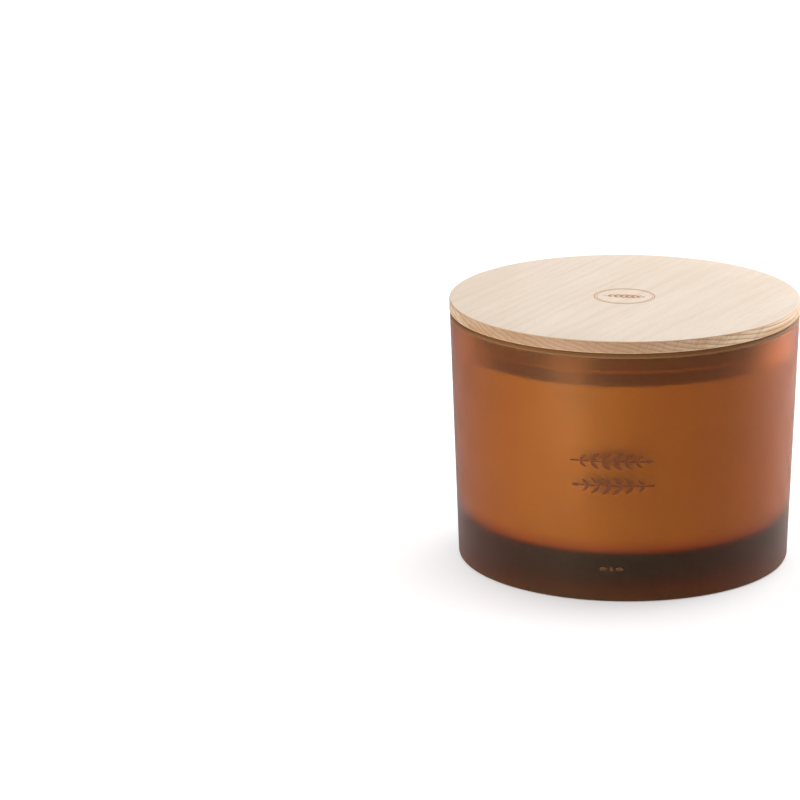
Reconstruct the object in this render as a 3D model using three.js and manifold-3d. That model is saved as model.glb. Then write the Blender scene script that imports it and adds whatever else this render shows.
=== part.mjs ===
// Scented candle in a frosted amber glass with a turned beech lid.
// Units are millimetres, +Z is up, and the origin is the centre of the foot.
// Touching pieces keep a gap of CLEARANCE, and each one is a single closed body.

import * as THREE from 'three';
import { mergeVertices } from 'three/addons/utils/BufferGeometryUtils.js';
import Module from 'manifold-3d';

// Driving dimensions.
const CLEARANCE = 0.3;

const GLASS_HEIGHT = 108.4;
const GLASS_FOOT_RADIUS = 71.3;
const GLASS_RIM_RADIUS = 74.8;
const GLASS_WALL = 4.2;
const GLASS_BASE_THICKNESS = 18.5;
const FOOT_CORNER_RADIUS = 1.2;
const INNER_CORNER_RADIUS = 10;
const PUNT_RADIUS = 56;
const PUNT_DEPTH = 1.4;
const PUNT_SLOPE_WIDTH = 3;

const WAX_DEPTH_BELOW_RIM = 15.3;
const MENISCUS_HEIGHT = 0.4;
const MENISCUS_WIDTH = 3;

const LID_RADIUS = 75;
const LID_FLANGE_THICKNESS = 5.1;
const LID_ARRIS = 0.4;
const PLUG_RADIUS = 67.8;
const PLUG_DEPTH = 10.2;
const PLUG_CHAMFER = 0.8;

const SEAL_GROOVE_DEPTH = 1.6;
const SEAL_GROOVE_TOP = 3.6;
const SEAL_HEIGHT = 5;
const SEAL_BAND_THICKNESS = 1.4;
const SEAL_FIN_COUNT = 3;
const SEAL_FIN_THICKNESS = 0.7;
const SEAL_FIN_TIP_THICKNESS = 0.35;

const WICK_CIRCLE_RADIUS = 27;
const WICK_RADIUS = 1.3;
const WICK_ABOVE_WAX = 4.6;
const TAB_RADIUS = 10;
const TAB_THICKNESS = 0.5;
const NECK_WALL = 0.5;
const NECK_HEIGHT = 6.5;
const BORE_OVERRUN = 1;
const STICKER_RADIUS = 9;
const STICKER_THICKNESS = 0.8;

const LABEL_RADIUS = 25;
const LABEL_THICKNESS = 0.3;

const ROUND_SEGMENTS = 72;
const SMALL_SEGMENTS = 24;
const ARC_STEPS = 3;

// Heights that follow from them.
const FLOOR_Z = GLASS_BASE_THICKNESS;
const WAX_TOP_Z = GLASS_HEIGHT - WAX_DEPTH_BELOW_RIM;
const FLANGE_Z = GLASS_HEIGHT + CLEARANCE;
const LID_TOP_Z = FLANGE_Z + LID_FLANGE_THICKNESS;
const STICKER_Z = FLOOR_Z + CLEARANCE;
const TAB_Z = STICKER_Z + STICKER_THICKNESS + CLEARANCE;
const WICK_FOOT_Z = TAB_Z + TAB_THICKNESS + CLEARANCE;
const NECK_INNER_RADIUS = WICK_RADIUS + CLEARANCE;
const NECK_OUTER_RADIUS = NECK_INNER_RADIUS + NECK_WALL;

const WICKS = [
  { name: 'front_left', angleDeg: 210 },
  { name: 'front_right', angleDeg: 330 },
  { name: 'back', angleDeg: 90 },
];

const MATERIALS = {
  glass: { color: 0xa8622a, roughness: 0.55, metalness: 0, transparent: true, opacity: 0.6 },
  wax: { color: 0xf3e3c3, roughness: 0.6, metalness: 0 },
  beech: { color: 0xecdccb, roughness: 0.7, metalness: 0 },
  silicone: { color: 0xdcd8cf, roughness: 0.4, metalness: 0 },
  cotton: { color: 0xf4efe4, roughness: 0.95, metalness: 0 },
  tin: { color: 0xc9ccd0, roughness: 0.35, metalness: 1 },
  foam: { color: 0xf7f7f4, roughness: 0.9, metalness: 0 },
  paper: { color: 0xf2ece0, roughness: 0.85, metalness: 0 },
};

const wasm = await Module();
wasm.setup();

const candle = new THREE.Group();

// Adds a named piece made of one of the materials above, and returns its mesh.
function addPiece(name, geometry, materialName) {
  const mesh = new THREE.Mesh(geometry, new THREE.MeshStandardMaterial(MATERIALS[materialName]));
  mesh.name = name;
  candle.add(mesh);
  return mesh;
}

// Turns a profile, drawn as radius and height, round the Z axis.
function turned(profile, segments) {
  const geometry = new THREE.LatheGeometry(profile.getPoints(ARC_STEPS), segments);
  return geometry.rotateX(Math.PI / 2);
}

// A manifold solid from a closed geometry. Triangles that collapse on the axis are dropped.
function toSolid(geometry) {
  const bare = geometry.clone();
  bare.deleteAttribute('normal');
  bare.deleteAttribute('uv');
  const merged = mergeVertices(bare);
  const corners = [];
  for (let i = 0; i < merged.index.count; i += 3) {
    const triangle = [0, 1, 2].map((corner) => merged.index.getX(i + corner));
    if (new Set(triangle).size === 3) corners.push(...triangle);
  }
  const vertProperties = new Float32Array(merged.attributes.position.array);
  const triVerts = new Uint32Array(corners);
  return new wasm.Manifold(new wasm.Mesh({ numProp: 3, vertProperties, triVerts }));
}

function toGeometry(solid) {
  const mesh = solid.getMesh();
  const geometry = new THREE.BufferGeometry();
  geometry.setAttribute('position', new THREE.BufferAttribute(mesh.vertProperties, 3));
  geometry.setIndex(new THREE.BufferAttribute(mesh.triVerts, 1));
  geometry.computeVertexNormals();
  return geometry;
}

// Outside radius of the tapered wall at a height.
function outerRadius(z) {
  const share = (z - FOOT_CORNER_RADIUS) / (GLASS_HEIGHT - FOOT_CORNER_RADIUS);
  return GLASS_FOOT_RADIUS + (GLASS_RIM_RADIUS - GLASS_FOOT_RADIUS) * share;
}

function innerRadius(z) {
  return outerRadius(z) - GLASS_WALL;
}

// The glass: a flat foot ring round a shallow punt, a tapered wall, a rounded rim and a thick base.
function glassProfile() {
  const rimArcZ = GLASS_HEIGHT - GLASS_WALL / 2;
  const cornerZ = FLOOR_Z + INNER_CORNER_RADIUS;
  const profile = new THREE.Path();
  profile.moveTo(0, PUNT_DEPTH);
  profile.lineTo(PUNT_RADIUS - PUNT_SLOPE_WIDTH, PUNT_DEPTH);
  profile.lineTo(PUNT_RADIUS, 0);
  const footX = GLASS_FOOT_RADIUS - FOOT_CORNER_RADIUS;
  profile.absarc(footX, FOOT_CORNER_RADIUS, FOOT_CORNER_RADIUS, -Math.PI / 2, 0, false);
  profile.absarc(outerRadius(rimArcZ) - GLASS_WALL / 2, rimArcZ, GLASS_WALL / 2, 0, Math.PI, false);
  const cornerX = innerRadius(cornerZ) - INNER_CORNER_RADIUS;
  profile.absarc(cornerX, cornerZ, INNER_CORNER_RADIUS, 0, -Math.PI / 2, true);
  profile.lineTo(0, FLOOR_Z);
  return profile;
}

// The wax fills the glass to WAX_TOP_Z and climbs the wall a little at its edge.
function waxProfile() {
  const cornerZ = FLOOR_Z + INNER_CORNER_RADIUS;
  const cornerX = innerRadius(cornerZ) - INNER_CORNER_RADIUS;
  const cornerRadius = INNER_CORNER_RADIUS - CLEARANCE;
  const edgeZ = WAX_TOP_Z + MENISCUS_HEIGHT;
  const edgeRadius = innerRadius(edgeZ) - CLEARANCE;
  const profile = new THREE.Path();
  profile.moveTo(0, FLOOR_Z + CLEARANCE);
  profile.lineTo(cornerX, FLOOR_Z + CLEARANCE);
  profile.absarc(cornerX, cornerZ, cornerRadius, -Math.PI / 2, 0, false);
  profile.lineTo(edgeRadius, edgeZ);
  profile.quadraticCurveTo(edgeRadius, WAX_TOP_Z, edgeRadius - MENISCUS_WIDTH, WAX_TOP_Z);
  profile.lineTo(0, WAX_TOP_Z);
  return profile;
}

// The room that one wick, its metal tab and its sticker take in the wax, CLEARANCE wider all round.
function wickPocketProfile() {
  const tabPocketTop = TAB_Z + TAB_THICKNESS + CLEARANCE;
  const neckPocketTop = TAB_Z + NECK_HEIGHT + CLEARANCE;
  const neckPocketRadius = NECK_OUTER_RADIUS + CLEARANCE;
  const boreRadius = NECK_INNER_RADIUS;
  const profile = new THREE.Path();
  profile.moveTo(0, FLOOR_Z);
  profile.lineTo(TAB_RADIUS + CLEARANCE, FLOOR_Z);
  profile.lineTo(TAB_RADIUS + CLEARANCE, tabPocketTop);
  profile.lineTo(neckPocketRadius, tabPocketTop);
  profile.lineTo(neckPocketRadius, neckPocketTop);
  profile.lineTo(boreRadius, neckPocketTop);
  profile.lineTo(boreRadius, WAX_TOP_Z + BORE_OVERRUN);
  profile.lineTo(0, WAX_TOP_Z + BORE_OVERRUN);
  return profile;
}

// The metal tab: a round plate with a hollow neck that is crimped on the wick.
function sustainerProfile() {
  const profile = new THREE.Path();
  profile.moveTo(0, TAB_Z);
  profile.lineTo(TAB_RADIUS, TAB_Z);
  profile.lineTo(TAB_RADIUS, TAB_Z + TAB_THICKNESS);
  profile.lineTo(NECK_OUTER_RADIUS, TAB_Z + TAB_THICKNESS);
  profile.lineTo(NECK_OUTER_RADIUS, TAB_Z + NECK_HEIGHT);
  profile.lineTo(NECK_INNER_RADIUS, TAB_Z + NECK_HEIGHT);
  profile.lineTo(NECK_INNER_RADIUS, TAB_Z + TAB_THICKNESS);
  profile.lineTo(0, TAB_Z + TAB_THICKNESS);
  return profile;
}

// A plain disc, for the stickers, the label and the wicks.
function discProfile(radius, bottomZ, topZ) {
  const profile = new THREE.Path();
  profile.moveTo(0, bottomZ);
  profile.lineTo(radius, bottomZ);
  profile.lineTo(radius, topZ);
  profile.lineTo(0, topZ);
  return profile;
}

// The lid is one turned board: a flange over the rim and a grooved plug inside it.
function lidProfile() {
  const plugZ = FLANGE_Z - PLUG_DEPTH;
  const grooveTopZ = FLANGE_Z - SEAL_GROOVE_TOP;
  const grooveBottomZ = grooveTopZ - SEAL_HEIGHT - 2 * CLEARANCE;
  const grooveRadius = PLUG_RADIUS - SEAL_GROOVE_DEPTH;
  const profile = new THREE.Path();
  profile.moveTo(0, plugZ);
  profile.lineTo(PLUG_RADIUS - PLUG_CHAMFER, plugZ);
  profile.lineTo(PLUG_RADIUS, plugZ + PLUG_CHAMFER);
  profile.lineTo(PLUG_RADIUS, grooveBottomZ);
  profile.lineTo(grooveRadius, grooveBottomZ);
  profile.lineTo(grooveRadius, grooveTopZ);
  profile.lineTo(PLUG_RADIUS, grooveTopZ);
  profile.lineTo(PLUG_RADIUS, FLANGE_Z);
  profile.lineTo(LID_RADIUS - LID_ARRIS, FLANGE_Z);
  profile.lineTo(LID_RADIUS, FLANGE_Z + LID_ARRIS);
  profile.lineTo(LID_RADIUS, LID_TOP_Z - LID_ARRIS);
  profile.lineTo(LID_RADIUS - LID_ARRIS, LID_TOP_Z);
  profile.lineTo(0, LID_TOP_Z);
  return profile;
}

// The silicone seal: a band in the plug's groove, with soft fins that reach the glass.
function sealProfile() {
  const topZ = FLANGE_Z - SEAL_GROOVE_TOP - CLEARANCE;
  const bottomZ = topZ - SEAL_HEIGHT;
  const backRadius = PLUG_RADIUS - SEAL_GROOVE_DEPTH + CLEARANCE;
  const bandRadius = backRadius + SEAL_BAND_THICKNESS;
  const finPitch = (SEAL_HEIGHT - SEAL_FIN_THICKNESS) / (SEAL_FIN_COUNT - 1);
  const finTaper = (SEAL_FIN_THICKNESS - SEAL_FIN_TIP_THICKNESS) / 2;
  const profile = new THREE.Path();
  profile.moveTo(backRadius, bottomZ);
  for (let fin = 0; fin < SEAL_FIN_COUNT; fin += 1) {
    const finZ = bottomZ + fin * finPitch;
    const tipRadius = innerRadius(finZ) - CLEARANCE;
    profile.lineTo(bandRadius, finZ);
    profile.lineTo(tipRadius, finZ + finTaper);
    profile.lineTo(tipRadius, finZ + SEAL_FIN_THICKNESS - finTaper);
    profile.lineTo(bandRadius, finZ + SEAL_FIN_THICKNESS);
  }
  profile.lineTo(backRadius, topZ);
  profile.lineTo(backRadius, bottomZ);
  return profile;
}

function wickPlace({ angleDeg }) {
  const angle = THREE.MathUtils.degToRad(angleDeg);
  return new THREE.Vector3(WICK_CIRCLE_RADIUS * Math.cos(angle), WICK_CIRCLE_RADIUS * Math.sin(angle), 0);
}

function waxGeometry() {
  let wax = toSolid(turned(waxProfile(), ROUND_SEGMENTS));
  const pocket = turned(wickPocketProfile(), SMALL_SEGMENTS);
  for (const wick of WICKS) {
    const place = wickPlace(wick);
    wax = wax.subtract(toSolid(pocket.clone().translate(place.x, place.y, 0)));
  }
  return toGeometry(wax);
}

function addWickAssembly(wick) {
  const place = wickPlace(wick);
  const wickTop = WAX_TOP_Z + WICK_ABOVE_WAX;
  const stickerTop = STICKER_Z + STICKER_THICKNESS;
  const pieces = [
    ['wick', discProfile(WICK_RADIUS, WICK_FOOT_Z, wickTop), 'cotton'],
    ['sustainer', sustainerProfile(), 'tin'],
    ['sticker', discProfile(STICKER_RADIUS, STICKER_Z, stickerTop), 'foam'],
  ];
  for (const [kind, profile, materialName] of pieces) {
    addPiece(`${kind}_${wick.name}`, turned(profile, SMALL_SEGMENTS), materialName).position.copy(place);
  }
}

addPiece('glass_jar', turned(glassProfile(), ROUND_SEGMENTS), 'glass');
addPiece('wax_fill', waxGeometry(), 'wax');
WICKS.forEach(addWickAssembly);

const LABEL_TOP_Z = PUNT_DEPTH - CLEARANCE;
const labelProfile = discProfile(LABEL_RADIUS, LABEL_TOP_Z - LABEL_THICKNESS, LABEL_TOP_Z);
addPiece('base_label', turned(labelProfile, ROUND_SEGMENTS), 'paper');

addPiece('lid_seal', turned(sealProfile(), ROUND_SEGMENTS), 'silicone');
addPiece('lid_board', turned(lidProfile(), ROUND_SEGMENTS), 'beech');

export default candle;
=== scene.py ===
"""A filled candle jar: frosted amber glass, poured wax, and a turned beech lid with a silicone seal.

Every length is in metres, in the frame of the CAD model: +Z up, the decorated front towards -Y,
and the origin at the centre of the foot.
"""

import math

import bmesh
import bpy
from mathutils import Matrix, Vector


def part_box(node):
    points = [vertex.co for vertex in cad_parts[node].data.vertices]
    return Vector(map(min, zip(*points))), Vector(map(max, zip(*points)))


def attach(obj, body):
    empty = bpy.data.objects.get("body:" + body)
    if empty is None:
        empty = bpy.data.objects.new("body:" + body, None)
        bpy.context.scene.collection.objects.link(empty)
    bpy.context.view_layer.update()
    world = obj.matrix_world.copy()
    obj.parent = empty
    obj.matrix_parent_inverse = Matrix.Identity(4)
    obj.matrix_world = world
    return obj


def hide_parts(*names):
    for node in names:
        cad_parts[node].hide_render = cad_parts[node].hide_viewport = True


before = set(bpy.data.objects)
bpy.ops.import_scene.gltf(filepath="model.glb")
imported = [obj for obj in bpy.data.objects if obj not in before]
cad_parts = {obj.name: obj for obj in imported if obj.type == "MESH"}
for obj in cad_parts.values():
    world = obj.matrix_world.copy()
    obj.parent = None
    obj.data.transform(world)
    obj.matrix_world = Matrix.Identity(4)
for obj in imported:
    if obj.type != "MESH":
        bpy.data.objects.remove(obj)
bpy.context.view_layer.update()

MM = 0.001

# Places and sizes read from the CAD nodes.
GLASS_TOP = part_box("glass_jar")[1].z
WAX_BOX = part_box("wax_fill")
LID_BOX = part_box("lid_board")
SEAL_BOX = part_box("lid_seal")
WICK_NAMES = ("front_left", "front_right", "back")

# The glass, as the CAD model has it.
CAD_GAP = 0.3 * MM
FOOT_RADIUS = 71.3 * MM
RIM_RADIUS = 74.8 * MM
WALL = 4.2 * MM
FOOT_CORNER = 1.2 * MM
INNER_CORNER = 10 * MM
PUNT_RADIUS = 56 * MM
PUNT_DEPTH = 1.4 * MM
PUNT_SLOPE = 3 * MM
FLOOR = WAX_BOX[0].z - CAD_GAP

# The middle of the rounded rim, in the wall's section.
CROWN_Z = GLASS_TOP - WALL / 2

# The wax and the lid.
MENISCUS = 0.4 * MM
WAX_TOP = WAX_BOX[1].z - MENISCUS
FLANGE = GLASS_TOP + CAD_GAP
LID_RADIUS = LID_BOX[1].x
LID_TOP = LID_BOX[1].z
PLUG_BOTTOM = LID_BOX[0].z
PLUG_RADIUS = 67.8 * MM

AROUND = 288


# ---------------------------------------------------------------- mesh helpers


def arc(centre_r, centre_z, radius, start_deg, end_deg, steps):
    """Points (r, z) of an arc, with both ends."""
    points = []
    for step in range(steps + 1):
        angle = math.radians(start_deg + (end_deg - start_deg) * step / steps)
        points.append((centre_r + radius * math.cos(angle), centre_z + radius * math.sin(angle)))
    return points


def finish_mesh(name, bm, sharp_deg=35):
    """Makes an object of a bmesh: outward faces, smooth but for the edges sharper than sharp_deg."""
    bmesh.ops.remove_doubles(bm, verts=bm.verts, dist=1e-7)
    bmesh.ops.recalc_face_normals(bm, faces=bm.faces)
    mesh = bpy.data.meshes.new(name)
    bm.to_mesh(mesh)
    bm.free()
    mesh.shade_smooth()
    mesh.set_sharp_from_angle(angle=math.radians(sharp_deg))
    piece = bpy.data.objects.new(name, mesh)
    bpy.context.scene.collection.objects.link(piece)
    return piece


def turned(name, profile, segments=AROUND, centre=(0, 0), closed=False, shape=None, sharp_deg=35):
    """Turns a profile of (r, z) round the vertical through centre.

    The profile starts and ends on the axis, or is a closed loop. shape(r, angle, z) may move a
    point, and gives back its new r and z.
    """
    bm = bmesh.new()
    rings = []
    for radius, z in profile:
        ring = []
        for step in range(1 if radius == 0 else segments):
            angle = 2 * math.pi * step / segments
            r, height = shape(radius, angle, z) if shape else (radius, z)
            x, y = centre[0] + r * math.sin(angle), centre[1] - r * math.cos(angle)
            ring.append(bm.verts.new((x, y, height)))
        rings.append(ring)
    following = rings[1:] + rings[:1] if closed else rings[1:]
    for lower, upper in zip(rings, following):
        for step in range(segments):
            after = (step + 1) % segments
            corners = [lower[step % len(lower)], lower[after % len(lower)]]
            corners += [upper[after % len(upper)], upper[step % len(upper)]]
            bm.faces.new(dict.fromkeys(corners))
    return finish_mesh(name, bm, sharp_deg)


def outer_radius(z):
    """Outside radius of the tapered glass wall at height z."""
    share = (z - FOOT_CORNER) / (GLASS_TOP - FOOT_CORNER)
    return FOOT_RADIUS + (RIM_RADIUS - FOOT_RADIUS) * share


def inner_radius(z):
    """Inside radius of the glass wall at height z."""
    return outer_radius(z) - WALL


# ---------------------------------------------------------------- camera and light

FOCAL_LENGTH = 171  # mm on a 36 mm wide sensor: a long studio lens
SENSOR = 36
CAMERA_DISTANCE = 1.643
CAMERA_HEADING = math.radians(7.05)
CAMERA_PITCH = math.radians(15.98)
CAMERA_ROLL = math.radians(-0.48)
AIMED_HEIGHT = 52.5 * MM
JAR_ACROSS = 0.2792  # how far right of the picture's middle the jar stands, as a share of its width
JAR_DOWN = 0.0418  # how far below the picture's middle it stands, as a share of the width


def add_camera():
    """A camera at the photographer's angle. The jar stands right of the middle of its picture."""
    heading = Matrix.Rotation(CAMERA_HEADING, 3, "Z")
    forward = heading @ Vector((0, math.cos(CAMERA_PITCH), -math.sin(CAMERA_PITCH)))
    level = heading @ Vector((1, 0, 0))
    above = level.cross(forward)
    right = level * math.cos(CAMERA_ROLL) + above * math.sin(CAMERA_ROLL)
    up = above * math.cos(CAMERA_ROLL) - level * math.sin(CAMERA_ROLL)
    width_there = SENSOR / FOCAL_LENGTH * CAMERA_DISTANCE
    place = Vector((0, 0, AIMED_HEIGHT)) - forward * CAMERA_DISTANCE
    place -= right * JAR_ACROSS * width_there
    place += up * JAR_DOWN * width_there
    data = bpy.data.cameras.new("camera")
    data.lens = FOCAL_LENGTH
    data.sensor_width = SENSOR
    data.clip_end = 100
    camera = bpy.data.objects.new("camera", data)
    bpy.context.scene.collection.objects.link(camera)
    turn = Matrix((right, up, -forward)).transposed()
    camera.matrix_world = Matrix.Translation(place) @ turn.to_4x4()
    bpy.context.scene.camera = camera


# Each lamp's azimuth and elevation in degrees, distance, side and power in watts.
# Azimuth 0 is in front of the jar and 90 at its right.
LAMPS = {
    "left_key": (-29, 0, 0.29, 0.1, 0.33),
    "right_panel": (116, 8, 0.7, 0.4, 2.9),
    "back_rim": (150, 12, 1.2, 0.8, 7),
}


def add_softbox(name, azimuth, elevation, distance, side, power):
    """A square lamp that faces the jar."""
    a, e = math.radians(azimuth), math.radians(elevation)
    back = Vector((math.sin(a) * math.cos(e), -math.cos(a) * math.cos(e), math.sin(e)))
    data = bpy.data.lights.new(name, "AREA")
    data.shape = "SQUARE"
    data.size = side
    data.energy = power
    lamp = bpy.data.objects.new(name, data)
    bpy.context.scene.collection.objects.link(lamp)
    lamp.location = Vector((0, 0, AIMED_HEIGHT)) + back * distance
    lamp.rotation_euler = back.to_track_quat("Z", "Y").to_euler()
    lamp.visible_camera = False


WHITE = (1, 1, 1, 1)
WORLD_LOW = 0.03
WORLD_OVERHEAD = 1.9
OVERHEAD_TILT = math.radians(25)
OVERHEAD_EDGE_DEG = (55, 35)  # where the patch's soft edge starts and ends, from its middle


def add_world():
    """White for the eye. It lights the jar from a wide patch overhead, tilted towards the back."""
    world = bpy.data.worlds.new("studio")
    bpy.context.scene.world = world
    world.use_nodes = True
    tree = world.node_tree
    tree.nodes.clear()
    out = add_node(tree, "ShaderNodeOutputWorld")
    direction = add_node(tree, "ShaderNodeTexCoord").outputs["Generated"]
    patch = (0, math.sin(OVERHEAD_TILT), math.cos(OVERHEAD_TILT))
    near = add_node(tree, "ShaderNodeVectorMath", {0: direction, 1: patch}, operation="DOT_PRODUCT")
    edge = [math.cos(math.radians(angle)) for angle in OVERHEAD_EDGE_DEG]
    strength = spread(tree, near.outputs["Value"], *edge, WORLD_LOW, WORLD_OVERHEAD)
    seen = add_node(tree, "ShaderNodeBackground", {"Color": WHITE, "Strength": 1.0})
    lit = add_node(tree, "ShaderNodeBackground", {"Color": WHITE, "Strength": strength})
    to_camera = add_node(tree, "ShaderNodeLightPath").outputs["Is Camera Ray"]
    mix = add_node(tree, "ShaderNodeMixShader", {0: to_camera, 1: lit.outputs[0], 2: seen.outputs[0]})
    tree.links.new(mix.outputs[0], out.inputs["Surface"])


# ---------------------------------------------------------------- material helpers


def add_node(tree, kind, inputs=None, **settings):
    """A node with its settings, and its inputs set to numbers or linked to sockets."""
    made = tree.nodes.new(kind)
    for key, value in settings.items():
        setattr(made, key, value)
    for key, value in (inputs or {}).items():
        if isinstance(value, bpy.types.NodeSocket):
            tree.links.new(value, made.inputs[key])
        else:
            made.inputs[key].default_value = value
    return made


def new_material(name, values):
    """A material with one Principled shader, and its sockets set to values."""
    material = bpy.data.materials.new(name)
    material.use_nodes = True
    tree = material.node_tree
    shader = tree.nodes["Principled BSDF"]
    for key, value in values.items():
        shader.inputs[key].default_value = value
    return material, tree, shader


def object_coordinates(tree, turn=0.0):
    """Object coordinates, turned about the vertical."""
    values = {"Vector": add_node(tree, "ShaderNodeTexCoord").outputs["Object"], "Rotation": (0, 0, turn)}
    return add_node(tree, "ShaderNodeVectorRotate", values, rotation_type="EULER_XYZ").outputs[0]


def noise(tree, vector, scale, detail=3.0, roughness=0.5):
    values = {"Vector": vector, "Scale": scale, "Detail": detail, "Roughness": roughness}
    return add_node(tree, "ShaderNodeTexNoise", values).outputs["Fac"]


def spread(tree, value, low, high, to_low=0.0, to_high=1.0):
    """Maps low..high of value smoothly to to_low..to_high, and holds it there beyond."""
    values = {"Value": value, "From Min": low, "From Max": high, "To Min": to_low, "To Max": to_high}
    return add_node(tree, "ShaderNodeMapRange", values, interpolation_type="SMOOTHSTEP").outputs["Result"]


def mix_colours(tree, share, a, b):
    """The colour a, with a share of b mixed in."""
    return add_node(tree, "ShaderNodeMix", {0: share, 6: a, 7: b}, data_type="RGBA").outputs[2]


def maths(tree, operation, *values):
    return add_node(tree, "ShaderNodeMath", dict(enumerate(values)), operation=operation).outputs[0]


def bump(tree, shader, height, distance):
    values = {"Height": height, "Distance": distance}
    tree.links.new(add_node(tree, "ShaderNodeBump", values).outputs[0], shader.inputs["Normal"])


# ---------------------------------------------------------------- glass, wax and plain materials

GLASS_IOR = 1.33
GLASS_COLOUR = (0.95, 0.72, 0.42, 1)
GLASS_SHEEN = (1.0, 0.72, 0.48, 1)
GLASS_TINT = (0.915, 0.70, 0.024, 1)
GLASS_DENSITY = 410
GLASS_CLEARNESS = 0.985
POLISHED = 0.03
ETCHED = (0.44, 0.5)


def etched_side(tree):
    """1 on the etched outside and foot of the glass, and 0 on its polished inside."""
    position = add_node(tree, "ShaderNodeTexCoord").outputs["Object"]
    place = add_node(tree, "ShaderNodeSeparateXYZ", {0: position})
    height = place.outputs["Z"]
    squares = [maths(tree, "MULTIPLY", place.outputs[axis], place.outputs[axis]) for axis in ("X", "Y")]
    radius = maths(tree, "SQRT", maths(tree, "ADD", *squares))
    taper = (RIM_RADIUS - FOOT_RADIUS) / (GLASS_TOP - FOOT_CORNER)
    leaning = maths(tree, "MULTIPLY", maths(tree, "SUBTRACT", height, FOOT_CORNER), taper)
    mid_wall = maths(tree, "ADD", leaning, FOOT_RADIUS - WALL / 2)
    outside = maths(tree, "GREATER_THAN", radius, mid_wall)
    underneath = maths(tree, "LESS_THAN", height, FLOOR / 2)
    return maths(tree, "MAXIMUM", outside, underneath)


def amber_glass():
    """Brown glass that colours light by its depth: acid-etched outside, polished inside."""
    values = {
        "IOR": GLASS_IOR,
        "Transmission Weight": GLASS_CLEARNESS,
        "Base Color": GLASS_COLOUR,
        "Specular Tint": GLASS_SHEEN,
    }
    material, tree, shader = new_material("frosted_amber_glass", values)
    depth = {"Color": GLASS_TINT, "Density": GLASS_DENSITY}
    absorption = add_node(tree, "ShaderNodeVolumeAbsorption", depth)
    tree.links.new(absorption.outputs[0], tree.nodes["Material Output"].inputs["Volume"])
    place = object_coordinates(tree)
    cloud = spread(tree, noise(tree, place, 60, detail=2.0), 0.3, 0.7, *ETCHED)
    grain = spread(tree, noise(tree, place, 2500, detail=2.0), 0.3, 0.7, 0, 0.04)
    etched = maths(tree, "ADD", cloud, grain)
    values = {"Value": etched_side(tree), "To Min": POLISHED, "To Max": etched}
    roughness = add_node(tree, "ShaderNodeMapRange", values).outputs["Result"]
    tree.links.new(roughness, shader.inputs["Roughness"])
    return material


def wax():
    """Poured wax: cream, softly lit from within, with faint clouds in it."""
    values = {
        "Roughness": 0.45,
        "IOR": 1.44,
        "Subsurface Weight": 0.6,
        "Subsurface Radius": (1.0, 0.65, 0.4),
        "Subsurface Scale": 2.5 * MM,
    }
    material, tree, shader = new_material("wax", values)
    place = object_coordinates(tree)
    cloud = spread(tree, noise(tree, place, 45), 0.35, 0.7)
    colour = mix_colours(tree, cloud, (0.63, 0.505, 0.38, 1), (0.58, 0.455, 0.33, 1))
    tree.links.new(colour, shader.inputs["Base Color"])
    bump(tree, shader, noise(tree, place, 160), 0.15 * MM)
    return material


# Each plain material's two tones, roughness, noise scale, depth of relief and other shader values.
PLAIN_MATERIALS = {
    "cotton": ((0.86, 0.81, 0.72), (0.78, 0.71, 0.60), 0.9, 2500, 0.05 * MM, {}),
    "tinned_steel": ((0.62, 0.62, 0.63), (0.5, 0.5, 0.51), 0.35, 900, 0.01 * MM, {"Metallic": 1.0}),
    "adhesive_foam": ((0.85, 0.85, 0.82), (0.78, 0.78, 0.75), 0.9, 1800, 0.05 * MM, {}),
    "label_paper": ((0.83, 0.79, 0.70), (0.78, 0.73, 0.64), 0.85, 700, 0.02 * MM, {}),
    # The silicone's dull, dark tones are partly painted shade, for the shade in the gap under the lid.
    "silicone": ((0.39, 0.345, 0.28), (0.345, 0.305, 0.245), 0.35, 200, 0.02 * MM,
                 {"Subsurface Weight": 0.5, "Subsurface Scale": 1.5 * MM}),
    # The rim skin's tan is partly the ground glass and partly painted sheen.
    "ground_glass_and_painted_sheen": ((0.26, 0.12, 0.045), (0.225, 0.105, 0.038), 0.6, 1500, 0.01 * MM,
                           {"Specular IOR Level": 0.2}),
    "front_print_ink": ((0.16, 0.046, 0.016), (0.14, 0.038, 0.012), 0.7, 900, 0.01 * MM,
                        {"Specular IOR Level": 0.15}),
    "foot_print_ink": ((0.145, 0.052, 0.021), (0.125, 0.044, 0.018), 0.7, 900, 0.01 * MM,
                       {"Specular IOR Level": 0.15}),
    "burnt_line": ((0.56, 0.29, 0.14), (0.48, 0.235, 0.11), 0.8, 1500, 0.02 * MM,
                   {"Specular IOR Level": 0.15}),
}


def plain(name):
    """A material whose colour wanders between its two tones, with a fine relief."""
    tone, other, roughness, scale, relief, more = PLAIN_MATERIALS[name]
    material, tree, shader = new_material(name, {"Roughness": roughness, **more})
    wander = noise(tree, object_coordinates(tree), scale, detail=4.0)
    colour = mix_colours(tree, spread(tree, wander, 0.3, 0.7), (*tone, 1), (*other, 1))
    tree.links.new(colour, shader.inputs["Base Color"])
    bump(tree, shader, wander, relief)
    return material


# ---------------------------------------------------------------- beech

GRAIN_ANGLE = math.radians(66)
END_GRAIN_ANGLE = math.radians(75)  # turned 9 degrees from the grain towards the front, which moves the dark end grain, partly painted shade, there
RING_TILT = math.radians(72)
RING_WIDTH = 1.9 * MM
RING_WANDER = 5 * MM
RING_SHARPNESS = 3.5
RAY_NOISE_SCALE = 260
RAY_HALF = 0.035  # how far from its middle value the noise still makes a ray

# How strongly each shows, from 0 to 1.
EDGE_TONE = 0.95
RINGS_ON_EDGE = 0.9
RINGS_ON_TOP = 0.05
RAYS_ON_EDGE = 0.28

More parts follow.
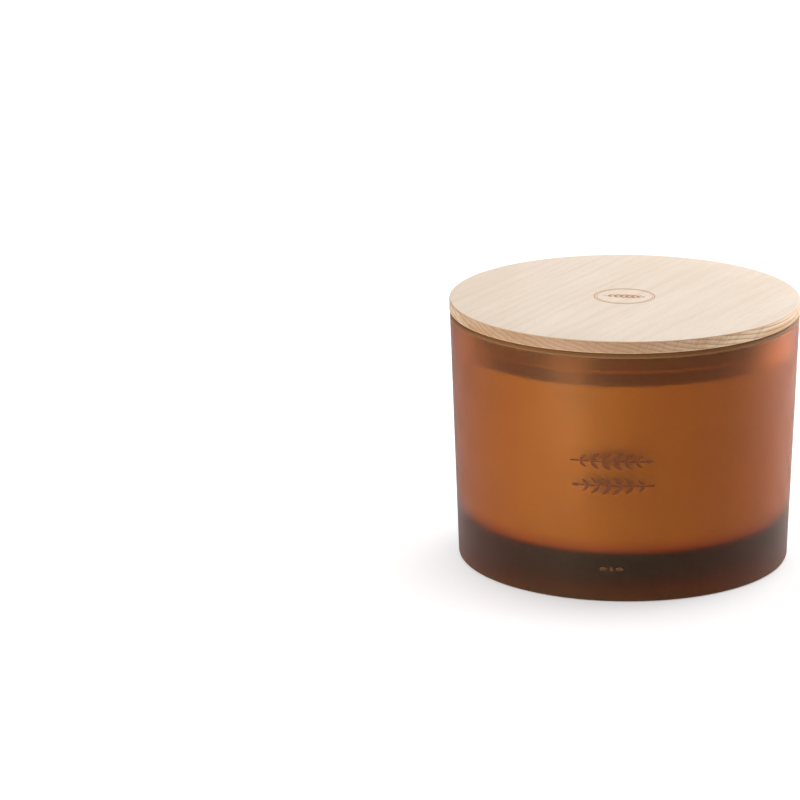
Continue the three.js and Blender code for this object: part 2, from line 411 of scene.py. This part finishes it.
TOP_PALE = (0.845, 0.72, 0.60, 1)
TOP_CREAM = (0.815, 0.675, 0.545, 1)
TOP_STREAK = (0.73, 0.565, 0.43, 1)
SIDE_HONEY = (0.82, 0.61, 0.41, 1)
SIDE_TAN = (0.60, 0.37, 0.19, 1)
# The dark end grain is partly the wood's own brown and partly painted shade on the front of the lid's edge.
END_GRAIN_AND_SHADE = (0.36, 0.21, 0.11, 1)
LATE_WOOD = (0.36, 0.135, 0.05, 1)
RAY = (0.30, 0.16, 0.08, 1)
FIBRE = (0.66, 0.49, 0.34, 1)
FLECK = (0.58, 0.40, 0.26, 1)
WORN_EDGE = (0.66, 0.38, 0.19, 1)


def grain_noise(tree, along, scales, detail=3.0, roughness=0.5):
    """Noise with a scale of its own along the grain, across it, and through the board."""
    values = {0: along, 1: scales}
    place = add_node(tree, "ShaderNodeVectorMath", values, operation="MULTIPLY").outputs[0]
    return noise(tree, place, 1.0, detail, roughness)


def tilted(tree, along, across_share, rising_share):
    """A distance across the grain, part sideways and part upwards."""
    parts = add_node(tree, "ShaderNodeSeparateXYZ", {0: along})
    across = maths(tree, "MULTIPLY", parts.outputs["Y"], across_share)
    rising = maths(tree, "MULTIPLY", parts.outputs["Z"], rising_share)
    return maths(tree, "ADD", across, rising)


def growth_rings(tree, along):
    """Tilted, wandering rings: 0 in the early wood, and rising to 1 at the late wood's sharp edge."""
    drift = grain_noise(tree, along, (7, 45, 45), detail=2.0)
    wandering = maths(tree, "MULTIPLY", drift, RING_WANDER)
    place = maths(tree, "ADD", tilted(tree, along, math.cos(RING_TILT), -math.sin(RING_TILT)), wandering)
    phase = maths(tree, "FRACT", maths(tree, "DIVIDE", place, RING_WIDTH))
    return maths(tree, "POWER", phase, RING_SHARPNESS)


def wood_rays(tree, along):
    """Thin dark rays that cross the rings squarely, unevenly spaced."""
    place = tilted(tree, along, math.sin(RING_TILT), math.cos(RING_TILT))
    values = {"W": place, "Scale": RAY_NOISE_SCALE, "Detail": 3.0}
    swing = add_node(tree, "ShaderNodeTexNoise", values, noise_dimensions="1D").outputs["Fac"]
    off_middle = maths(tree, "ABSOLUTE", maths(tree, "SUBTRACT", swing, 0.5))
    return spread(tree, off_middle, 0.0, RAY_HALF, 1.0, 0.0)


def facing(tree):
    """How far the board's surface faces up or down, and how far it faces along the grain."""
    normal = add_node(tree, "ShaderNodeTexCoord").outputs["Normal"]
    upright = add_node(tree, "ShaderNodeSeparateXYZ", {0: normal}).outputs["Z"]
    flat = spread(tree, maths(tree, "ABSOLUTE", upright), 0.2, 1.0)
    grain_way = (math.cos(END_GRAIN_ANGLE), math.sin(END_GRAIN_ANGLE), 0)
    ending = add_node(tree, "ShaderNodeVectorMath", {0: normal, 1: grain_way}, operation="DOT_PRODUCT")
    end_grain_and_shade = spread(tree, maths(tree, "ABSOLUTE", ending.outputs["Value"]), 0.5, 0.99)
    return flat, end_grain_and_shade


def top_wood(tree, along):
    """Pale, with soft clouds and fine, slightly darker streaks."""
    cloud = grain_noise(tree, along, (9, 26, 26))
    streaks = grain_noise(tree, along, (9, 330, 330), roughness=0.6)
    colour = mix_colours(tree, spread(tree, cloud, 0.35, 0.65), TOP_PALE, TOP_CREAM)
    return mix_colours(tree, spread(tree, streaks, 0.42, 0.68, 0, 0.3), colour, TOP_STREAK)


def side_wood(tree, along, end_grain_and_shade):
    """Honey and tan, and brown where the fibres are cut across: that brown is partly painted shade on the
    lid's front.
    """
    figure = grain_noise(tree, along, (25, 60, 260))
    colour = mix_colours(tree, spread(tree, figure, 0.4, 0.65), SIDE_HONEY, SIDE_TAN)
    # Mixes in the dark end grain: partly real, partly painted shade on the lid's front.
    return mix_colours(tree, maths(tree, "MULTIPLY", end_grain_and_shade, 0.9), colour, END_GRAIN_AND_SHADE)


def beech():
    """Sanded beech, solid: the rings and fibres run through it, so its darker edge shows their ends, and the
    dark end grain is partly painted shade on the lid's front.
    """
    material, tree, shader = new_material("beech", {"Roughness": 0.62, "Specular IOR Level": 0.3})
    along = object_coordinates(tree, -GRAIN_ANGLE)
    late_wood = growth_rings(tree, along)
    fibres = grain_noise(tree, along, (90, 2200, 2200), roughness=0.6)
    flecks = grain_noise(tree, along, (420, 2600, 900), detail=1.0)
    flat, end_grain_and_shade = facing(tree)
    side = maths(tree, "SUBTRACT", 1.0, flat)
    arris = maths(tree, "MULTIPLY", maths(tree, "MULTIPLY", flat, side), 4.0)
    edge_share = maths(tree, "MULTIPLY", side, EDGE_TONE)
    colour = mix_colours(tree, edge_share, top_wood(tree, along), side_wood(tree, along, end_grain_and_shade))
    ring_share = spread(tree, flat, 0, 1, RINGS_ON_EDGE, RINGS_ON_TOP)
    ray_share = maths(tree, "MULTIPLY", side, RAYS_ON_EDGE)
    layers = (
        (maths(tree, "MULTIPLY", late_wood, ring_share), LATE_WOOD),
        (maths(tree, "MULTIPLY", wood_rays(tree, along), ray_share), RAY),
        (spread(tree, fibres, 0.45, 0.75, 0, 0.25), FIBRE),
        (spread(tree, flecks, 0.62, 0.75, 0, 0.25), FLECK),
        (arris, WORN_EDGE),
    )
    for share, tone in layers:
        colour = mix_colours(tree, share, colour, tone)
    tree.links.new(colour, shader.inputs["Base Color"])
    relief = maths(tree, "ADD", fibres, maths(tree, "MULTIPLY", late_wood, 0.3))
    bump(tree, shader, relief, 0.05 * MM)
    return material


def materials():
    """All the materials of the pieces, by name."""
    made = {"frosted_amber_glass": amber_glass(), "wax": wax(), "beech": beech()}
    for name in PLAIN_MATERIALS:
        made[name] = plain(name)
    return made


# ---------------------------------------------------------------- glass and wax


def put(piece, body, nodes, material):
    """Gives a piece its material, the body that carries it, and the CAD nodes that it stands for."""
    piece.data.materials.append(material)
    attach(piece, body)
    if nodes:
        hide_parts(*nodes)


WALL_STEPS = 8


def glass(finish):
    """The glass: a punt under the foot, a tapered wall, a rounded rim and a thick base."""
    crown_r = outer_radius(CROWN_Z) - WALL / 2
    corner_z = FLOOR + INNER_CORNER
    corner_r = inner_radius(corner_z) - INNER_CORNER
    outside = [(0, PUNT_DEPTH), (PUNT_RADIUS / 2, PUNT_DEPTH), (PUNT_RADIUS - PUNT_SLOPE, PUNT_DEPTH)]
    outside += [(PUNT_RADIUS - PUNT_SLOPE / 2, PUNT_DEPTH / 2), (PUNT_RADIUS, 0)]
    outside += arc(FOOT_RADIUS - FOOT_CORNER, FOOT_CORNER, FOOT_CORNER, -90, 0, 10)
    for step in range(1, WALL_STEPS):
        z = CROWN_Z * step / WALL_STEPS
        outside.append((outer_radius(z), z))
    outside += arc(crown_r, CROWN_Z, WALL / 2, 0, 180, 24)
    inside = []
    for step in range(WALL_STEPS - 1, 0, -1):
        z = corner_z + (CROWN_Z - corner_z) * step / WALL_STEPS
        inside.append((inner_radius(z), z))
    inside += arc(corner_r, corner_z, INNER_CORNER, 0, -90, 16)
    inside += [(corner_r / 2, FLOOR), (0, FLOOR)]
    piece = turned("glass_body", outside + inside)
    put(piece, "jar", ["glass_jar"], finish["frosted_amber_glass"])


GROUND_DEPTH = 0.04 * MM
GROUND_FROM_DEG = 2
GROUND_TO_DEG = 150


def ground_rim_and_painted_sheen(finish):
    """The matt, lighter skin on the rounded rim: partly what grinding leaves, and partly painted sheen, its
    tan standing for the light that the crown catches.
    """
    crown_r = outer_radius(CROWN_Z) - WALL / 2
    skin_out = WALL / 2 + GROUND_DEPTH / 2
    skin_in = WALL / 2 - GROUND_DEPTH / 2
    profile = arc(crown_r, CROWN_Z, skin_out, GROUND_FROM_DEG, GROUND_TO_DEG, 24)
    profile += arc(crown_r, CROWN_Z, skin_in, GROUND_TO_DEG, GROUND_FROM_DEG, 24)
    piece = turned("ground_rim_and_painted_sheen", profile, closed=True)
    put(piece, "jar", [], finish["ground_glass_and_painted_sheen"])


def wick_places():
    """The middle of each wick, by name."""
    places = {}
    for name in WICK_NAMES:
        low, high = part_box(f"wick_{name}")
        places[name] = (low + high) / 2
    return places


WICK_PLACES = wick_places()
WICK_LOW, WICK_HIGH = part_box("wick_back")
WICK_RADIUS = (WICK_HIGH.x - WICK_LOW.x) / 2

RIPPLE = 0.06 * MM
MOUND_HEIGHT = 0.7 * MM
MOUND_REACH = 2.5 * MM
WAX_CLIMB = 4 * MM
CLIMB_STEPS = 8
WAX_RINGS = 48
IN_GLASS = 0.05 * MM  # how far the wax reaches into the glass, so that no film of air is left


def wax_surface(radius, angle, z):
    """Lets the wax's top climb the wicks, and ripple a little between them."""
    if z < WAX_TOP - MM:
        return radius, z
    x, y = radius * math.sin(angle), -radius * math.cos(angle)
    height = z + RIPPLE * (math.sin(x * 95) * math.cos(y * 80) + 0.5 * math.sin(x * 190 + y * 150))
    for place in WICK_PLACES.values():
        away = math.hypot(x - place.x, y - place.y)
        height += MOUND_HEIGHT * math.exp(-((away / MOUND_REACH) ** 2))
    return radius, height


def wax_body(finish):
    """The wax, wetting the glass all round and closed over the metal tabs."""
    corner_z = FLOOR + INNER_CORNER
    corner_r = inner_radius(corner_z) - INNER_CORNER
    edge_r = inner_radius(WAX_TOP) + IN_GLASS
    profile = [(0, FLOOR - IN_GLASS), (corner_r / 2, FLOOR - IN_GLASS)]
    profile += arc(corner_r, corner_z, INNER_CORNER + IN_GLASS, -90, 0, 16)
    profile += [(edge_r, WAX_TOP + MENISCUS)]
    for step in range(1, CLIMB_STEPS + 1):
        share = step / CLIMB_STEPS
        profile.append((edge_r - WAX_CLIMB * share, WAX_TOP + MENISCUS * (1 - share) ** 3))
    for ring in range(1, WAX_RINGS):
        profile.append(((edge_r - WAX_CLIMB) * (1 - ring / WAX_RINGS), WAX_TOP))
    profile.append((0, WAX_TOP))
    piece = turned("wax_body", profile, shape=wax_surface)
    put(piece, "jar", ["wax_fill"], finish["wax"])


# ---------------------------------------------------------------- wicks, tabs, pads and label

BRAID_STRANDS = 4
BRAID_PITCH = 7 * MM
STRAND_RADIUS = WICK_RADIUS * 0.42
STRAND_FLATNESS = 0.7
WEAVE_DEPTH = 0.25  # of a strand's radius, in and out
STRAND_STEPS = 260
STRAND_SIDES = 8


def braid_strand(bm, place, direction, start):
    """One closed strand that winds round a wick from its foot, after a start as a share of a turn."""
    path_radius = WICK_RADIUS - STRAND_RADIUS * (1 + WEAVE_DEPTH)
    sweep = direction * path_radius * 2 * math.pi / BRAID_PITCH
    lag = 0 if direction > 0 else math.pi
    rings = []
    for step in range(STRAND_STEPS + 1):
        climbed = (WICK_HIGH.z - WICK_LOW.z) * step / STRAND_STEPS
        turn = direction * 2 * math.pi * (climbed / BRAID_PITCH + start)
        weave = math.cos(turn * BRAID_STRANDS * direction + lag)
        outward = Vector((math.cos(turn), math.sin(turn), 0))
        middle = Vector((place.x, place.y, WICK_LOW.z + climbed))
        middle += outward * (path_radius + STRAND_RADIUS * WEAVE_DEPTH * weave)
        forward = Vector((-outward.y * sweep, outward.x * sweep, 1)).normalized()
        aside = forward.cross(outward).normalized()
        ring = []
        for side in range(STRAND_SIDES):
            angle = 2 * math.pi * side / STRAND_SIDES
            offset = outward * math.cos(angle) * STRAND_FLATNESS + aside * math.sin(angle)
            ring.append(bm.verts.new(middle + offset * STRAND_RADIUS))
        rings.append(ring)
    for low, high in zip(rings, rings[1:]):
        for side in range(STRAND_SIDES):
            after = (side + 1) % STRAND_SIDES
            bm.faces.new((low[side], low[after], high[after], high[side]))
    bm.faces.new(rings[0][::-1])
    bm.faces.new(rings[-1])


def braided_wick(name, finish):
    """A cotton braid: strands that run both ways round and pass over and under each other."""
    bm = bmesh.new()
    for direction in (1, -1):
        for strand in range(BRAID_STRANDS):
            braid_strand(bm, WICK_PLACES[name], direction, strand / BRAID_STRANDS)
    piece = finish_mesh(f"braided_wick_{name}", bm, 60)
    put(piece, "jar", [f"wick_{name}"], finish["cotton"])


TAB_SHEET = 0.4 * MM
TAB_RIB_HEIGHT = 0.15 * MM
TAB_RIB_HALF = 0.8 * MM
NECK_WALL = 0.5 * MM
NECK_GAP = 0.2 * MM
NECK_FILLET = 0.5 * MM
CRIMP_DEPTH = 0.12 * MM


def tab(name, finish):
    """The pressed metal tab: a plate with a stiffening rib, and a neck crimped on the wick."""
    low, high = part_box(f"sustainer_{name}")
    place = (low + high) / 2
    plate = (high.x - low.x) / 2
    bore = WICK_RADIUS + NECK_GAP
    neck = bore + NECK_WALL
    rib = plate * 0.6
    top = low.z + TAB_SHEET
    profile = [(0, low.z), (rib - TAB_RIB_HALF, low.z)]
    profile += [(rib, low.z + TAB_RIB_HEIGHT), (rib + TAB_RIB_HALF, low.z)]
    profile += arc(plate - TAB_SHEET / 2, low.z + TAB_SHEET / 2, TAB_SHEET / 2, -90, 90, 6)
    profile += [(rib + TAB_RIB_HALF, top), (rib, top + TAB_RIB_HEIGHT), (rib - TAB_RIB_HALF, top)]
    profile += arc(neck + NECK_FILLET, top + NECK_FILLET, NECK_FILLET, -90, -180, 5)
    profile += [(neck, low.z + (high.z - low.z) * tenth / 10) for tenth in range(3, 10)]
    profile += [(neck - 0.1 * MM, high.z), (bore, high.z), (bore, top), (0, top)]

    def crimp(radius, angle, z):
        """Pinches the neck's outside at four places round its middle."""
        if radius > neck + MM / 100 or radius <= bore or z < low.z + 2 * MM:
            return radius, z
        pinch = math.exp(-(((z - place.z) / MM) ** 2))
        return radius - CRIMP_DEPTH * pinch * (0.5 + 0.5 * math.cos(4 * angle)), z

    piece = turned(f"metal_tab_{name}", profile, 48, (place.x, place.y), shape=crimp)
    put(piece, "jar", [f"sustainer_{name}"], finish["tinned_steel"])


FOAM_EDGE = 0.2 * MM
PAPER_EDGE = 0.1 * MM


def pad(name, node, slot, finish, edge):
    """A thin round pad with softened edges that stands for a plain CAD disc on the jar."""
    low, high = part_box(node)
    place = (low + high) / 2
    radius = (high.x - low.x) / 2
    profile = [(0, low.z), (radius * 0.6, low.z)]
    profile += arc(radius - edge, low.z + edge, edge, -90, 0, 5)
    profile += arc(radius - edge, high.z - edge, edge, 0, 90, 5)
    profile += [(radius * 0.6, high.z), (0, high.z)]
    piece = turned(name, profile, 96, (place.x, place.y))
    put(piece, "jar", [node], finish[slot])


# ---------------------------------------------------------------- seal and lid

SEAL_SET_IN = 1.3 * MM
SEAL_BAND = 1.4 * MM
FINS = 3
FIN_HALF = 0.35 * MM
FIN_GAP = 0.1 * MM

GROOVE_DEPTH = 1.6 * MM
ARRIS = 0.6 * MM
LOWER_ARRIS = 0.3 * MM
PLUG_ARRIS = 0.2 * MM
EMBLEM_RELIEF = 0.04 * MM


def seal(finish):
    """The silicone ring: a band in the plug's groove, with three soft fins that reach the glass."""
    low, high = SEAL_BOX[0].z, SEAL_BOX[1].z
    back = PLUG_RADIUS - SEAL_SET_IN
    band = back + SEAL_BAND
    profile = [(back, low), (band, low)]
    for fin in range(FINS):
        fin_z = low + FIN_HALF + (high - low - 2 * FIN_HALF) * fin / (FINS - 1)
        tip = inner_radius(fin_z) - FIN_GAP
        profile += [(band, fin_z - FIN_HALF)]
        profile += arc(tip - FIN_HALF / 2, fin_z, FIN_HALF / 2, -90, 90, 6)
        profile += [(band, fin_z + FIN_HALF)]
    profile += [(back, high)]
    piece = turned("silicone_seal", profile, closed=True)
    put(piece, "seal", ["lid_seal"], finish["silicone"])


def lid(finish):
    """The turned board: a flange with softened edges, and a plug with the groove for the seal."""
    groove_r = PLUG_RADIUS - GROOVE_DEPTH
    groove_top, groove_bottom = SEAL_BOX[1].z + CAD_GAP, SEAL_BOX[0].z - CAD_GAP
    top = LID_TOP - EMBLEM_RELIEF
    profile = [(0, PLUG_BOTTOM), (PLUG_RADIUS * 0.5, PLUG_BOTTOM)]
    profile += arc(PLUG_RADIUS - PLUG_ARRIS, PLUG_BOTTOM + PLUG_ARRIS, PLUG_ARRIS, -90, 0, 6)
    profile += [(PLUG_RADIUS, groove_bottom), (groove_r, groove_bottom), (groove_r, groove_top)]
    profile += [(PLUG_RADIUS, groove_top), (PLUG_RADIUS, FLANGE)]
    profile += arc(LID_RADIUS - LOWER_ARRIS, FLANGE + LOWER_ARRIS, LOWER_ARRIS, -90, 0, 6)
    profile += arc(LID_RADIUS - ARRIS, top - ARRIS, ARRIS, 0, 90, 6)
    profile += [(LID_RADIUS * 0.6, top), (LID_RADIUS * 0.3, top), (0, top)]
    piece = turned("beech_lid", profile, sharp_deg=40)
    put(piece, "lid", ["lid_board"], finish["beech"])


# ---------------------------------------------------------------- ornaments

LEAF_STEPS = 14
LEAF_POINT = 0.03 * MM
LEAF_SLANT = math.radians(50)
LINE_STEPS = 24
RING_STEPS = 96
PRINT_RELIEF = 0.05 * MM

FRONT_SPRIG = {"half_length": 17.6 * MM, "leaf_length": 5.4 * MM, "leaf_width": 1.8 * MM, "stroke": 0.25 * MM}
FRONT_HEIGHT = 56.5 * MM
FRONT_SPACING = 10.6 * MM
FOOT_LEAF_WIDTH = 1.5 * MM
FOOT_HEIGHT = 14.7 * MM
EMBLEM_SPRIG = {"half_length": 9.2 * MM, "leaf_length": 4.2 * MM, "leaf_width": 1.4 * MM, "stroke": 0.14 * MM}
EMBLEM_RINGS = ((12.9 * MM, 0.2 * MM), (11.9 * MM, 0.1 * MM))  # each line's radius and half its width
EMBLEM_TURN = math.radians(-4.5)
LEAF_PAIRS = 6


def ribbon(path, half_widths):
    """A flat strip: (left, middle, right) points along a path of (u, v), as wide as half_widths says."""
    rows = []
    for index, (u, v) in enumerate(path):
        before = path[max(index - 1, 0)]
        after = path[min(index + 1, len(path) - 1)]
        along = Vector((after[0] - before[0], after[1] - before[1])).normalized()
        aside = Vector((-along.y, along.x)) * half_widths[index]
        rows.append([(u - aside.x, v - aside.y), (u, v), (u + aside.x, v + aside.y)])
    return rows


def leaf(root, angle, length, width, curl=0.0):
    """A leaf that starts at root and bends a little on its way to its tip."""
    path = []
    halves = []
    for step in range(LEAF_STEPS + 1):
        share = step / LEAF_STEPS
        heading = angle + curl * (share - 0.5)
        reach = length * share
        path.append((root[0] + reach * math.cos(heading), root[1] + reach * math.sin(heading)))
        belly = math.sin(math.pi * share ** 0.8) if step < LEAF_STEPS else 0
        halves.append(max(width / 2 * belly ** 0.9, LEAF_POINT))
    return ribbon(path, halves)


def line(start, end, half_width):
    """A thin straight stroke from start to end."""
    (u0, v0), (u1, v1) = start, end
    shares = [step / LINE_STEPS for step in range(LINE_STEPS + 1)]
    path = [(u0 + (u1 - u0) * share, v0 + (v1 - v0) * share) for share in shares]
    return ribbon(path, [half_width] * len(path))


def ring_line(radius, half_width):
    """A round stroke, as one strip that closes on itself."""
    rows = []
    for step in range(RING_STEPS):
        angle = 2 * math.pi * step / RING_STEPS
        radii = (radius + half_width, radius, radius - half_width)
        rows.append([(r * math.cos(angle), r * math.sin(angle)) for r in radii])
    return rows + rows[:1]


def sprig(half_length, leaf_length, leaf_width, stroke, flip=1):
    """A level stem with paired leaves and one at its tip. It points left where flip is -1."""
    strips = [line((-half_length * flip, 0), (half_length * 0.86 * flip, 0), stroke)]
    for index in range(LEAF_PAIRS):
        share = (index + 0.5) / LEAF_PAIRS
        size = 1 - 0.45 * abs(share * 2 - 1) ** 2
        for side in (1, -1):
            root = (half_length * (-0.9 + 1.6 * share) * flip, side * stroke / 2)
            slant = side * LEAF_SLANT
            heading = slant if flip > 0 else math.pi - slant
            strips.append(leaf(root, heading, leaf_length * size, leaf_width * size, -0.3 * side * flip))
    tip_heading = 0 if flip > 0 else math.pi
    tip = (half_length * 0.78 * flip, 0)
    strips.append(leaf(tip, tip_heading, half_length * 0.2, leaf_width * 0.8))
    return strips


def raised(strips, rise):
    """The same strips, drawn higher."""
    return [[[(u, v + rise) for u, v in row] for row in rows] for rows in strips]


def add_strip(bm, rows, place, depth):
    """A closed thin body of one strip. Only a strip that closes on itself has no ends."""
    top = [[bm.verts.new(place(u, v, depth)) for u, v in row] for row in rows]
    bottom = [[bm.verts.new(place(u, v, -depth)) for u, v in row] for row in rows]
    for index in range(len(rows) - 1):
        for rows_of_verts in (top, bottom):
            row, following = rows_of_verts[index], rows_of_verts[index + 1]
            for side in (0, 1):
                bm.faces.new((row[side], row[side + 1], following[side + 1], following[side]))
        for side in (0, 2):
            wall = (top[index][side], top[index + 1][side], bottom[index + 1][side], bottom[index][side])
            bm.faces.new(wall)
    if rows[0] is rows[-1]:
        return
    for end in (0, -1):
        for side in (0, 1):
            bm.faces.new((top[end][side], top[end][side + 1], bottom[end][side + 1], bottom[end][side]))


def inlay(name, strips, place, depth):
    """Thin bodies of the strips. place(u, v, height) puts a point on the surface that carries them."""
    bm = bmesh.new()
    for rows in strips:
        add_strip(bm, rows, place, depth)
    return finish_mesh(name, bm, 30)


def on_front(height):
    """Places a flat drawing on the tapered front wall, centred at a height."""
    def place(u, v, relief):
        z = height + v
        radius = outer_radius(z) + relief
        angle = u / outer_radius(z)
        return Vector((radius * math.sin(angle), -radius * math.cos(angle), z))
    return place


def on_lid(turn):
    """Places a flat drawing on the middle of the lid."""
    c, s = math.cos(turn), math.sin(turn)

    def place(u, v, relief):
        return Vector((u * c - v * s, u * s + v * c, LID_TOP - EMBLEM_RELIEF + relief))
    return place


def ornaments(finish):
    """Plain leafy ornaments where the glass and the lid carry marks."""
    upper = raised(sprig(**FRONT_SPRIG), FRONT_SPACING / 2)
    lower = raised(sprig(**FRONT_SPRIG, flip=-1), -FRONT_SPACING / 2)
    front = inlay("front_sprig", upper + lower, on_front(FRONT_HEIGHT), PRINT_RELIEF)
    put(front, "jar", [], finish["front_print_ink"])

    leaves = [leaf((left * MM, 0), 0, 3.6 * MM, FOOT_LEAF_WIDTH) for left in (-5.2, 1.6)]
    leaves.append(leaf((0, -1.2 * MM), math.pi / 2, 2.4 * MM, FOOT_LEAF_WIDTH))
    foot = inlay("foot_mark", leaves, on_front(FOOT_HEIGHT), PRINT_RELIEF)
    put(foot, "jar", [], finish["foot_print_ink"])

    strokes = [ring_line(*ring) for ring in EMBLEM_RINGS] + sprig(**EMBLEM_SPRIG)
    emblem = inlay("lid_emblem", strokes, on_lid(EMBLEM_TURN), EMBLEM_RELIEF)
    put(emblem, "lid", [], finish["burnt_line"])


# ---------------------------------------------------------------- stage

FLOOR_GLOW = 0.35
FLOOR_HALF = 20  # metres
FLOOR_DROP = 0.05 * MM


def floor():
    """A wide white table that glows a little, as a lit acrylic one does, just under the foot."""
    bm = bmesh.new()
    bmesh.ops.create_grid(bm, x_segments=4, y_segments=4, size=FLOOR_HALF)
    piece = finish_mesh("floor", bm)
    piece.location.z = -FLOOR_DROP
    values = {
        "Roughness": 0.9,
        "Specular IOR Level": 0.0,
        "Emission Color": WHITE,
        "Emission Strength": FLOOR_GLOW,
    }
    material, tree, shader = new_material("floor", values)
    tone = noise(tree, object_coordinates(tree), 3, detail=2.0)
    colour = mix_colours(tree, tone, (0.80, 0.80, 0.80, 1), (0.78, 0.78, 0.78, 1))
    tree.links.new(colour, shader.inputs["Base Color"])
    piece.data.materials.append(material)


def main():
    bpy.context.scene.view_settings.view_transform = "Standard"
    add_camera()
    add_world()
    for name, settings in LAMPS.items():
        add_softbox(name, *settings)
    finish = materials()
    glass(finish)
    ground_rim_and_painted_sheen(finish)
    wax_body(finish)
    for name in WICK_NAMES:
        braided_wick(name, finish)
        tab(name, finish)
        pad(f"foam_pad_{name}", f"sticker_{name}", "adhesive_foam", finish, FOAM_EDGE)
    pad("paper_label", "base_label", "label_paper", finish, PAPER_EDGE)
    seal(finish)
    lid(finish)
    ornaments(finish)
    floor()


main()
